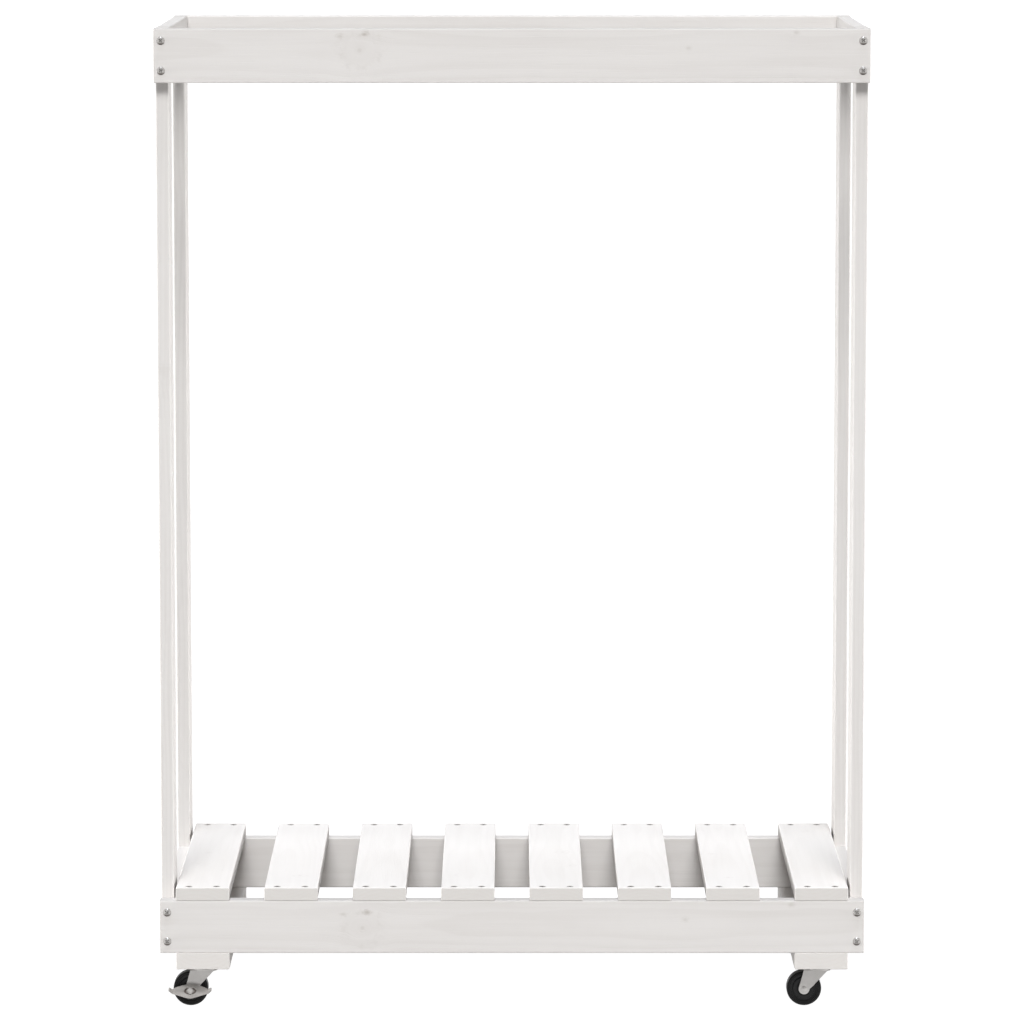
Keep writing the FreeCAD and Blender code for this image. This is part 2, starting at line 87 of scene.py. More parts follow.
class Slot(Enum):
    """The material slots of the finer pieces, as the record names them."""

    SCREW = "screw_steel"
    ZINC = "zinc_steel"
    PLASTIC = "wheel_plastic"
    RUBBER = "tyre_rubber"


def grey(level: float, warmth: float = 0.0) -> Colour:
    """Gives a linear colour for a display level.

    Args:
        level: Display brightness from 0 to 255.
        warmth: How far red is raised and blue lowered, as a share.

    Returns:
        Red, green and blue in linear light.
    """
    share = level / 255.0
    linear = share / 12.92 if share <= 0.04045 else ((share + 0.055) / 1.055) ** 2.4
    return (linear * (1 + warmth), linear, linear * (1 - warmth))


# ---------------------------------------------------------------- node formulas


class Signal:
    """One output of a node tree, with arithmetic, so that a pattern reads as a formula."""

    def __init__(self, graph: "Graph", socket: bpy.types.NodeSocket) -> None:
        """Keeps the tree and the socket that carries this value."""
        self.graph = graph
        self.socket = socket

    def __add__(self, other: "Operand") -> "Signal":
        """Adds another value."""
        return self.graph.math("ADD", self, other)

    def __radd__(self, other: "Operand") -> "Signal":
        """Adds this to a number."""
        return self.graph.math("ADD", other, self)

    def __sub__(self, other: "Operand") -> "Signal":
        """Takes another value away."""
        return self.graph.math("SUBTRACT", self, other)

    def __rsub__(self, other: "Operand") -> "Signal":
        """Takes this away from a number."""
        return self.graph.math("SUBTRACT", other, self)

    def __mul__(self, other: "Operand") -> "Signal":
        """Multiplies by another value."""
        return self.graph.math("MULTIPLY", self, other)

    def __truediv__(self, other: "Operand") -> "Signal":
        """Divides by another value."""
        return self.graph.math("DIVIDE", self, other)

    def __rtruediv__(self, other: "Operand") -> "Signal":
        """Divides a number by this."""
        return self.graph.math("DIVIDE", other, self)

    def apply(self, operation: str, other: "Operand" = 0.0) -> "Signal":
        """Applies one of Blender's math operations, such as SQRT or FRACT."""
        return self.graph.math(operation, self, other)

    def step(self, low: float, high: float) -> "Signal":
        """Rises smoothly from 0 at low to 1 at high, or falls if high is the lower one."""
        return self.graph.remap(self, low, high, 0.0, 1.0)


Operand = Union[Signal, Number]


class Graph:
    """Builds the node tree of one material."""

    def __init__(self, name: str) -> None:
        """Starts an empty tree that ends in one Principled shader.

        Args:
            name: The material's name.
        """
        self.material = bpy.data.materials.new(name)
        self.material.use_nodes = True
        self.tree = self.material.node_tree
        self.tree.nodes.clear()
        output = self.tree.nodes.new("ShaderNodeOutputMaterial")
        self.shader = self.tree.nodes.new("ShaderNodeBsdfPrincipled")
        self.tree.links.new(self.shader.outputs[0], output.inputs["Surface"])
        self.coordinates = self.tree.nodes.new("ShaderNodeTexCoord")

    @classmethod
    def around(cls, tree: bpy.types.NodeTree) -> "Graph":
        """Wraps a tree that already has its output, such as a world's."""
        graph = cls.__new__(cls)
        graph.tree = tree
        graph.coordinates = tree.nodes.new("ShaderNodeTexCoord")
        return graph

    def wire(self, socket: bpy.types.NodeSocket, value: Any) -> None:
        """Gives a socket its value.

        Args:
            socket: The input to set.
            value: A Signal to link, or a plain number, colour or vector.
        """
        if isinstance(value, Signal):
            self.tree.links.new(value.socket, socket)
        elif isinstance(value, (int, float)):
            socket.default_value = value
        else:
            wanted = len(socket.default_value)
            socket.default_value = (*value, 1.0)[:wanted] if len(value) < wanted else value

    def math(self, operation: str, first: Operand, second: Operand = 0.0) -> Signal:
        """Adds a math node.

        Args:
            operation: Blender's name of the operation.
            first: The first operand.
            second: The second operand, unused by operations of one.

        Returns:
            The result.
        """
        node = self.tree.nodes.new("ShaderNodeMath")
        node.operation = operation
        self.wire(node.inputs[0], first)
        self.wire(node.inputs[1], second)
        return Signal(self, node.outputs[0])

    def remap(self, value: Signal, low: float, high: float, start: float, end: float) -> Signal:
        """Maps a range smoothly to another, and holds its ends.

        Args:
            value: What is mapped.
            low: Where the result is start.
            high: Where the result is end.
            start: The result at low and beyond.
            end: The result at high and beyond.

        Returns:
            The mapped value.
        """
        node = self.tree.nodes.new("ShaderNodeMapRange")
        node.interpolation_type = "SMOOTHSTEP"
        for socket, setting in zip(node.inputs, (value, low, high, start, end)):
            self.wire(socket, setting)
        return Signal(self, node.outputs[0])

    def point(self, x: Operand, y: Operand, z: Operand) -> Signal:
        """Joins three values into a vector."""
        node = self.tree.nodes.new("ShaderNodeCombineXYZ")
        for socket, part in zip(node.inputs, (x, y, z)):
            self.wire(socket, part)
        return Signal(self, node.outputs[0])

    def parts(self, vector: Signal) -> list[Signal]:
        """Splits a vector into its three values."""
        node = self.tree.nodes.new("ShaderNodeSeparateXYZ")
        self.wire(node.inputs[0], vector)
        return [Signal(self, output) for output in node.outputs]

    def place(self) -> list[Signal]:
        """Gives the object's own coordinates, in metres."""
        return self.parts(Signal(self, self.coordinates.outputs["Object"]))

    def facing(self) -> list[Signal]:
        """Gives the three parts of the surface normal in the object's own frame."""
        return self.parts(Signal(self, self.coordinates.outputs["Normal"]))

    def towards(self, direction: Sequence[float]) -> Signal:
        """Tells how squarely the surface looks along a direction of the object's own frame."""
        node = self.tree.nodes.new("ShaderNodeVectorMath")
        node.operation = "DOT_PRODUCT"
        self.tree.links.new(self.coordinates.outputs["Normal"], node.inputs[0])
        self.wire(node.inputs[1], direction)
        return Signal(self, node.outputs["Value"])

    def scale(self, colour: Signal, factor: Signal) -> Signal:
        """Makes a colour brighter or darker."""
        node = self.tree.nodes.new("ShaderNodeVectorMath")
        node.operation = "SCALE"
        self.wire(node.inputs[0], colour)
        self.wire(node.inputs["Scale"], factor)
        return Signal(self, node.outputs[0])

    def noise(self, vector: Signal, detail: float = 2.0, roughness: float = 0.5,
              scale: float = 1.0) -> Signal:
        """Adds a noise field.

        Args:
            vector: Where it is read.
            detail: Its octaves.
            roughness: How strong the finer octaves are.
            scale: How many cells fit in one unit.

        Returns:
            A value around 0.5.
        """
        node = self.tree.nodes.new("ShaderNodeTexNoise")
        self.wire(node.inputs["Vector"], vector)
        node.inputs["Scale"].default_value = scale
        node.inputs["Detail"].default_value = detail
        node.inputs["Roughness"].default_value = roughness
        return Signal(self, node.outputs[0])

    def mix(self, share: Operand, first: Any, second: Any) -> Signal:
        """Mixes two colours.

        Args:
            share: How much of the second one there is.
            first: A colour or a Signal.
            second: A colour or a Signal.

        Returns:
            The mixed colour.
        """
        node = self.tree.nodes.new("ShaderNodeMix")
        node.data_type = "RGBA"
        self.wire(node.inputs[0], share)
        self.wire(node.inputs[6], first)
        self.wire(node.inputs[7], second)
        return Signal(self, node.outputs[2])

    def relief(self, height: Signal, depth: float, edge: float = 0.0) -> Signal:
        """Turns a height field into a bumped normal.

        Args:
            height: The field, from 0 to 1.
            depth: The height of 1, in metres.
            edge: The radius that sharp edges are shaded as rounded to, in metres.

        Returns:
            The normal.
        """
        node = self.tree.nodes.new("ShaderNodeBump")
        node.inputs["Strength"].default_value = 1.0
        node.inputs["Distance"].default_value = depth
        self.wire(node.inputs["Height"], height)
        if edge:
            bevel = self.tree.nodes.new("ShaderNodeBevel")
            bevel.samples = 6
            bevel.inputs["Radius"].default_value = edge
            self.tree.links.new(bevel.outputs[0], node.inputs["Normal"])
        return Signal(self, node.outputs[0])

    def finish(self, **inputs: Any) -> bpy.types.Material:
        """Sets the shader's inputs.

        Args:
            inputs: Input names with spaces written as underscores, and their values.

        Returns:
            The finished material.
        """
        for name, value in inputs.items():
            self.wire(self.shader.inputs[name.replace("_", " ")], value)
        return self.material


# ---------------------------------------------------------------- finishes


@dataclass(frozen=True)
class Knot:
    """A branch's trace in a board.

    Args:
        along: Its place from the board's middle along the grain, in metres.
        across: Its place from the board's middle across the face, in metres.
        radius: Its half width across the grain, in metres.
        stretch: How much longer it is along the grain.
        depth: How dark it shows through the stain, from 0 to 1.
    """

    along: float
    across: float
    radius: float
    stretch: float = 1.2
    depth: float = 0.5


@dataclass(frozen=True)
class PaintedLight:
    """Painted light and shade on the faces that look one way, whose tone is scaled as the light falling there
    would scale it.

    Args:
        towards: The way they look.
        gain: What their tone is multiplied by.
        above: The height that it starts at, in metres.
    """

    towards: tuple[float, float, float]
    gain: float
    above: float = 0.0


@dataclass(frozen=True)
class Board:
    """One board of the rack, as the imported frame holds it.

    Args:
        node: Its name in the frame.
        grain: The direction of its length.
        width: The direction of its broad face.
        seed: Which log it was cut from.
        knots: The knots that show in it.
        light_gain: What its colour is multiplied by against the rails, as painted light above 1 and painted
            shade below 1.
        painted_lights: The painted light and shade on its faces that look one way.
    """

    node: str
    grain: Axis
    width: Axis
    seed: int
    knots: tuple[Knot, ...] = ()
    light_gain: float = 1.0
    painted_lights: tuple[PaintedLight, ...] = ()

    @property
    def axes(self) -> tuple[int, int, int]:
        """The components along the grain, across the face and through the thickness."""
        left = ({0, 1, 2} - {self.grain.value, self.width.value}).pop()
        return (self.grain.value, self.width.value, left)

    @property
    def centre(self) -> Vector:
        """The middle of the board's box."""
        low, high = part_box(self.node)
        return (low + high) / 2


@dataclass(frozen=True)
class StainedPine:
    """Planed pine under a thin white stain, as a solid pattern cut by the board's faces.

    Args:
        pith_depth: How far behind the face the pith lies, in metres.
        wander: How far the rings stray from a circle, in metres.
        ripple: How far they waver on top of that, in metres.
        heart_radius: The largest dark heart that a knot has, in metres.
        hiding: How fast the grain fades as the light gain rises.
    """

    stain: Colour = (0.604, 0.583, 0.566)
    latewood: Colour = (0.538, 0.513, 0.493)
    pale: Colour = (0.628, 0.610, 0.595)
    knot_heart: Colour = (0.360, 0.325, 0.295)
    end_grain: Colour = (0.560, 0.539, 0.518)
    end_ring: Colour = (0.529, 0.496, 0.463)
    ring_pitch: float = 0.0042
    pith_depth: float = 0.046
    wander: float = 0.011
    ripple: float = 0.0022
    fibre_depth: float = 0.00010
    heart_radius: float = 0.0034
    hiding: float = 2.2

    def dress(self, board: Board) -> bpy.types.Material:
        """Makes the board's own material.

        Args:
            board: The board and the knots in it.

        Returns:
            A material whose rings, fibres and knots run through this board alone.
        """
        graph = Graph(f"stained_pine_{board.node}")
        dice = random.Random(board.seed)
        place, centre = graph.place(), board.centre
        along, across, through = (place[i] - centre[i] for i in board.axes)
        shift = dice.uniform(3.0, 60.0)

        flow, marks, hearts = self._round_knots(graph, board, along, across, shift)
        rings = self._rings(graph, dice, along, flow, through, shift)
        fibre = graph.noise(graph.point(along * 26.0 + shift, flow * 1500.0, through * 1500.0), 3.0, 0.62)
        streak = graph.noise(graph.point(along * 5.0, flow * 190.0 + shift, through * 190.0), 3.0, 0.55)
        cloud = graph.noise(graph.point(along * 3.0, across * 14.0, through * 14.0 + shift), 2.0, 0.5)

        ends = graph.facing()[board.grain.value].apply("ABSOLUTE").step(0.80, 0.97)

        # Painted light and shade: the board's stain, latewood and pale tones are scaled by its light gain.
        stain, latewood, pale = (tuple(part * board.light_gain for part in tone)
                                 for tone in (self.stain, self.latewood, self.pale))
        grain_left = 1.0 - (board.light_gain - 1.0) * self.hiding
        tone = graph.mix(rings * 0.36 * grain_left, stain, latewood)
        tone = graph.mix(streak.step(0.42, 0.72) * 0.30 * grain_left, tone, latewood)
        tone = graph.mix(fibre.step(0.50, 0.78) * 0.20 * grain_left, tone, latewood)
        tone = graph.mix(cloud.step(0.35, 0.70) * 0.40, tone, pale)
        tone = graph.mix(marks, tone, latewood)
        tone = graph.mix(hearts, tone, self.knot_heart)
        tone = graph.mix(ends * 0.9, tone, graph.mix(rings * 0.25, self.end_grain, self.end_ring))
        # Painted light and shade on the faces that look one way, from a given height up where asked.
        for facing_light in board.painted_lights:
            worn_and_lit = graph.towards(facing_light.towards).step(0.12, 0.55)
            if facing_light.above:
                worn_and_lit = worn_and_lit * place[2].step(facing_light.above, facing_light.above + RIM_BLEND)
            tone = graph.scale(tone, 1.0 + worn_and_lit * (facing_light.gain - 1.0))

        rough = 0.62 + streak * 0.10 - rings * 0.05 + ends * 0.18
        pores = 1.0 - fibre.step(0.52, 0.74) * 0.7 + rings * 0.25 - marks * 0.4
        saw = graph.noise(graph.point(across * 900.0 + shift, through * 900.0, along * 900.0), 2.0, 0.6)
        height = pores * (1.0 - ends) + saw * ends * 1.6
        return graph.finish(Base_Color=tone, Roughness=rough, IOR=1.48, Specular_IOR_Level=0.28,
                            Normal=graph.relief(height, self.fibre_depth))

    def _round_knots(self, graph: Graph, board: Board, along: Signal, across: Signal,
                     shift: float) -> tuple[Signal, Signal, Signal]:
        """Leads the grain round the knots and marks their rings.

        Args:
            graph: The material's tree.
            board: The board with its knots.
            along: Place along the grain.
            across: Place across the face.
            shift: Where the noise is read.

        Returns:
            The place across the bent grain, the knots' faint marks and their dark hearts.
        """
        flow = across
        marks: Signal = across * 0.0
        hearts: Signal = across * 0.0
        for knot in board.knots:
            wobble = graph.noise(graph.point(along * 90.0 + shift, across * 90.0, shift), 2.0, 0.5) - 0.5
            run = (along - knot.along) / knot.stretch
            rise = across - knot.across
            reach = (run * run + rise * rise).apply("SQRT") * (1.0 + wobble * 0.7)
            share = reach / knot.radius
            swell = 1.0 / (share * share + 0.35)
            flow = flow - rise * swell * 0.55
            rim = share.step(0.74, 0.97) * share.step(1.40, 1.02)
            broken = graph.noise(graph.point(along * 160.0, across * 160.0, shift), 2.0, 0.6).step(0.40, 0.66)
            inner = (share * 9.0).apply("SINE").step(0.0, 1.0) * share.step(1.2, 0.6)
            heart = reach.step(min(self.heart_radius, knot.radius), 0.0004)
            marks = marks + (rim * broken * 0.36 + inner * 0.22 + share.step(1.6, 0.4) * 0.14) * knot.depth
            hearts = hearts + (heart * 0.34 + rim * broken * broken * 0.07) * knot.depth
        return flow, marks.apply("MINIMUM", 1.0), hearts.apply("MINIMUM", 0.9)

    def _rings(self, graph: Graph, dice: random.Random, along: Signal, flow: Signal,
               through: Signal, shift: float) -> Signal:
        """Draws the growth rings about a pith that lies behind the face.

        Args:
            graph: The material's tree.
            dice: The board's own random numbers.
            along: Place along the grain.
            flow: Place across the bent grain.
            through: Place through the thickness.
            shift: Where the noise is read.

        Returns:
            1 in the latewood and 0 in the earlywood.
        """
        pith_across = dice.uniform(-0.012, 0.012)
        pith_through = dice.choice((-1, 1)) * self.pith_depth * dice.uniform(0.8, 1.25)
        drift = graph.noise(graph.point(along * 2.1 + shift, flow * 6.0, shift), 2.0, 0.5) - 0.5
        waver = graph.noise(graph.point(along * 9.0, flow * 30.0, through * 30.0 + shift), 2.0, 0.5) - 0.5
        side, deep = flow - pith_across, through - pith_through
        radius = (side * side + deep * deep).apply("SQRT") + drift * self.wander * 2 + waver * self.ripple
        phase = (radius / (self.ring_pitch * dice.uniform(0.85, 1.2))).apply("FRACT")
        return phase.step(0.30, 0.88) * phase.step(1.0, 0.90)


@dataclass(frozen=True)
class PlatedSteel:
    """Zinc plate over steel, dull or bright.

    Args:
        name: The material's name.
        colour: The plate's colour.
        roughness: How matt it is.
        metal: The share of it that mirrors, the rest being milky plate.
        mottle: How strongly its spangle shows.
        edge: The radius that its edges look rounded to, in metres.
        under: How strongly shade is painted on the sides of it that look down.
        shade_colour: The colour of the painted shade there and in the eyes' folds.
    """

    name: str
    colour: Colour
    roughness: float
    metal: float = 0.45
    mottle: float = 0.35
    edge: float = 0.0004
    under: float = 0.0
    shade_colour: Colour = (0.085, 0.066, 0.056)

    def make(self, eyes: Sequence[Vector] = ()) -> bpy.types.Material:
        """Makes the material.

        Args:
            eyes: The middles of the pressed oval eyes, where shade is painted in the fold round each.

        Returns:
            Metal with faint plating spangle, fine scratches and uneven polish, and painted shade on its
            undersides and round the eyes where asked.
        """
        graph = Graph(self.name)
        x, y, z = graph.place()
        here = graph.point(x, y, z)
        spangle = graph.noise(here, 3.0, 0.6, 900.0)
        cloud = graph.noise(here, 2.0, 0.5, 130.0)
        brush = graph.noise(graph.point(x * 3200.0, y * 3200.0, z * 260.0), 2.0, 0.6)
        dull = tuple(part * 0.80 for part in self.colour)
        patches = spangle.step(0.40, 0.66) * self.mottle + cloud.step(0.4, 0.7) * 0.15
        tone = graph.mix(patches, self.colour, dull)
        # Painted shade on the sides that look down.
        if self.under:
            tone = graph.mix(graph.towards(DOWN).step(0.22, 0.62) * self.under, tone, self.shade_colour)
        # Painted shade in the fold round each pressed eye.
        for eye in eyes:
            tone = graph.mix(self._fold(graph, eye, x, y, z) * (0.70 + cloud * 0.5), tone, self.shade_colour)
        rough = self.roughness + (cloud - 0.5) * 0.16 + (brush - 0.5) * 0.10
        return graph.finish(Base_Color=tone, Metallic=self.metal, Roughness=rough,
                            Normal=graph.relief(spangle * 0.6 + brush * 0.4, 0.000012, self.edge))

    def _fold(self, graph: Graph, eye: Vector, x: Signal, y: Signal, z: Signal) -> Signal:
        """Finds the fold round a pressed eye, where shade is painted.

        Args:
            graph: The material's tree; not used.
            eye: The middle of the eye.
            x: Place along X.
            y: Place along Y.
            z: Place along Z.

        Returns:
            1 in the fold, and 0 a millimetre away from it or on another lever.
        """
        wide, rise, far = (x - eye.x) / EYE_HALF_W, (z - eye.z) / EYE_HALF_H, (y - eye.y).apply("ABSOLUTE")
        reach = (wide * wide + rise * rise).apply("SQRT")
        return reach.step(0.70, 0.84) * reach.step(1.24, 1.10) * far.step(0.030, 0.028)


@dataclass(frozen=True)
class Moulded:
    """Black plastic or rubber from a mould."""

    name: str
    colour: Colour
    worn_and_lit: Colour
    roughness: float
    grain: float

    def make(self) -> bpy.types.Material:
        """Makes the material.

        Returns:
            A dark surface with a fine moulded grain and faint dusty scuffs.
        """
        graph = Graph(self.name)
        x, y, z = graph.place()
        here = graph.point(x, y, z)
        speck = graph.noise(here, 3.0, 0.6, self.grain)
        scuff = graph.noise(here, 4.0, 0.65, 210.0).step(0.52, 0.74)
        tone = graph.mix(scuff * 0.5, self.colour, self.worn_and_lit)
        rough = self.roughness + (speck - 0.5) * 0.20 + scuff * 0.08
        return graph.finish(Base_Color=tone, Roughness=rough, IOR=1.5, Specular_IOR_Level=0.30,
                            Normal=graph.relief(speck, 0.00003, 0.0002))


@dataclass(frozen=True)
class TurnedBeech:
    """Plain beech dowel, with short dark flecks along its grain."""

    colour: Colour = (0.560, 0.370, 0.210)
    fleck: Colour = (0.360, 0.210, 0.110)

    def make(self) -> bpy.types.Material:
        """Makes the material.

        Returns:
            Beech whose flecks run along Y, as the dowels do.
        """
        graph = Graph("turned_beech")
        x, y, z = graph.place()
        fleck = graph.noise(graph.point(x * 1600.0, y * 260.0, z * 1600.0), 3.0, 0.6).step(0.52, 0.70)
        return graph.finish(Base_Color=graph.mix(fleck * 0.6, self.colour, self.fleck), Roughness=0.6,
                            Normal=graph.relief(fleck, 0.00004))


# ---------------------------------------------------------------- sub-assemblies


def dress(node: bpy.types.Object, material: bpy.types.Material) -> None:
    """Gives a CAD node its finish without changing its mesh.

    Args:
        node: The node's object.
        material: The finish.
    """
    for slot in node.material_slots:
        slot.link = "OBJECT"
        slot.material = material
    log.info("%s is dressed in %s", node.name, material.name)


@dataclass
class Timber:
    """All the boards of the rack, each with its own cut of pine."""

    nodes: dict[str, bpy.types.Object]
    finish: StainedPine = StainedPine()

    @staticmethod
    def rail_knots(rise: float) -> tuple[Knot, ...]:
        """Lists the knots of a front rail.

        Args:
            rise: How far the large knot's heart lies above the rail's middle, in metres.

        Returns:
            One large pale knot, the dark marks on its border, and two pin knots.
        """
        return (
            Knot(-0.1625, rise, 0.0190, 1.10, 0.80),
            Knot(-0.1575, rise + 0.0170, 0.0030, 1.7, 1.9),
            Knot(-0.1835, rise + 0.0150, 0.0026, 1.9, 0.9),
            Knot(0.188, 0.008, 0.0028, 1.5, 0.7),
            Knot(0.303, 0.0245, 0.0032, 1.5, 0.8),
        )

    def boards(self) -> list[Board]:
        """Lists every board with its grain and its knots."""
        # Painted light and shade: the front rails' upper edges are darker and their lower edges lighter, and
        # the inner faces of the posts and top side rails above the rim's foot are darker.
        front_edge_light = (PaintedLight(UP, 0.82), PaintedLight(DOWN, 1.50))
        left_corner_shade, right_corner_shade = (PaintedLight(RIGHT, 0.76, RIM_FOOT),), (PaintedLight(LEFT, 0.88, RIM_FOOT),)
        rails = [
            Board("top_front_rail", Axis.X, Axis.Z, 5, self.rail_knots(0.0057), painted_lights=front_edge_light),
            Board("bottom_front_rail", Axis.X, Axis.Z, 6, self.rail_knots(-0.0010), painted_lights=front_edge_light),
            # The top rear rail carries a little painted light.
            Board("top_rear_rail", Axis.X, Axis.Z, 12,
                  (Knot(0.121, -0.006, 0.011), Knot(-0.246, 0.012, 0.004)), light_gain=1.02),
            Board("bottom_rear_rail", Axis.X, Axis.Z, 13,
                  (Knot(-0.052, 0.010, 0.009), Knot(0.265, -0.008, 0.005))),
        ]
        posts = [
            Board(f"{corner}_post", Axis.Z, Axis.Y, seed, (knot,), painted_lights=painted_lights)
            for corner, seed, knot, painted_lights in (
                ("front_left", 21, Knot(0.120, -0.020, 0.012, 1.5, 0.5), left_corner_shade),
                ("front_right", 22, Knot(-0.210, 0.008, 0.009, 1.4, 0.6), right_corner_shade),
                ("rear_left", 23, Knot(0.300, -0.004, 0.008, 1.4, 0.6), left_corner_shade),
                ("rear_right", 24, Knot(0.060, 0.010, 0.010, 1.4, 0.6), right_corner_shade),
            )
        ]
        # The bottom side rails carry painted light on the left and painted shade on the right.
        side_rails = [
            Board("top_left_side_rail", Axis.Y, Axis.Z, 31, painted_lights=left_corner_shade),
            Board("top_right_side_rail", Axis.Y, Axis.Z, 32, painted_lights=right_corner_shade),
            Board("bottom_left_side_rail", Axis.Y, Axis.Z, 33, light_gain=1.09),
            Board("bottom_right_side_rail", Axis.Y, Axis.Z, 34, light_gain=0.96),
        ]
        # The slats are painted whiter than the rails, standing in for the stronger light on them.
        slats = [
            Board(f"deck_slat_{number}", Axis.Y, Axis.X, 40 + number, self.slat_knots(number), light_gain=1.165)
            for number in range(1, 9)
        ]
        # Painted light and shade on the caster boards: their whole tone a little lighter, tops and inner sides
        # darker, undersides, fronts and backs lighter.
        foot_edge_light = (PaintedLight(UP, 0.93), PaintedLight(DOWN, 1.20), PaintedLight(FRONT, 1.085), PaintedLight(REAR, 1.085))
        casters = [
            Board(f"{side}_caster_board", Axis.Y, Axis.X, seed, light_gain=1.05,
                  painted_lights=(*foot_edge_light, PaintedLight(inner, 0.86)))
            for side, seed, inner in (("left", 60, RIGHT), ("right", 61, LEFT))
        ]
        return rails + posts + side_rails + slats + casters

    def slat_knots(self, number: int) -> tuple[Knot, ...]:
        """Puts a knot or two in some of the slats.

        Args:
            number: The slat's number from the left.

        Returns:
            Its knots, none for every third slat.
        """
        dice = random.Random(number * 7)
        if number % 3 == 0:
            return ()
        return tuple(Knot(dice.uniform(-0.16, 0.16), dice.uniform(-0.018, 0.018), dice.uniform(0.004, 0.009),
                          1.3, dice.uniform(0.25, 0.5)) for _ in range(1 + number % 2))

    def build(self) -> None:
        """Dresses every board."""
        for board in self.boards():
            dress(self.nodes[board.node], self.finish.dress(board))


@dataclass
class Metalwork:
    """The screws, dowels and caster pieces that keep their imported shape."""

    nodes: dict[str, bpy.types.Object]
    zinc: PlatedSteel = PlatedSteel("dull_zinc", (0.62, 0.602, 0.585), 0.40, 0.55, 0.2)
    screw: PlatedSteel = PlatedSteel("flush_screw", (0.30, 0.28, 0.26), 0.36, 0.8, 0.2, 0.0002)

    def build(self) -> None:
        """Dresses the nodes by the kind of piece that their names end in."""
        zinc, screw = self.zinc.make(), self.screw.make()
        ball = PlatedSteel("ground_ball", (0.62, 0.62, 0.63), 0.10, 1.0, 0.1).make()
        kinds = {
            "_plate": zinc, "_king_pin": zinc, "_axle": zinc, "_washers": zinc, "_balls": ball,
            "slat_screws": screw, "board_screws": screw, "plate_screws": screw,
            "_dowels": TurnedBeech().make(),
        }
        for name, node in self.nodes.items():
            for ending, material in kinds.items():
                if name.endswith(ending):
                    dress(node, material)


def solid(name: str, points: Sequence[Vector], faces: Sequence[Sequence[int]],
          material: bpy.types.Material) -> bpy.types.Object:
    """Makes a closed piece from points and faces.

    Args:
        name: The piece's name.
        points: Its corners, in metres in the rack's frame.
        faces: The corner numbers of each face.
        material: Its finish.

    Returns:
        The piece, shaded smooth except at its sharp edges.
    """
    work = bmesh.new()
    corners = [work.verts.new(point) for point in points]
    for face in faces:
        work.faces.new([corners[i] for i in face])
    bmesh.ops.recalc_face_normals(work, faces=work.faces)
    mesh = bpy.data.meshes.new(name)
    work.to_mesh(mesh)
    work.free()
    mesh.shade_smooth()
    mesh.set_sharp_from_angle(angle=TURNED_CREASE)
    mesh.materials.append(material)
    piece = bpy.data.objects.new(name, mesh)
    bpy.context.scene.collection.objects.link(piece)
    log.info("%s has %d faces", name, len(mesh.polygons))
    return piece


def stand_for(piece: bpy.types.Object, node: str, body: str) -> None:
    """Puts a finer piece in the place of its CAD node.

    Args:
        piece: The finer piece.
        node: The node that it replaces.
        body: The body that carries it.
    """
    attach(piece, body)
    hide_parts(node)


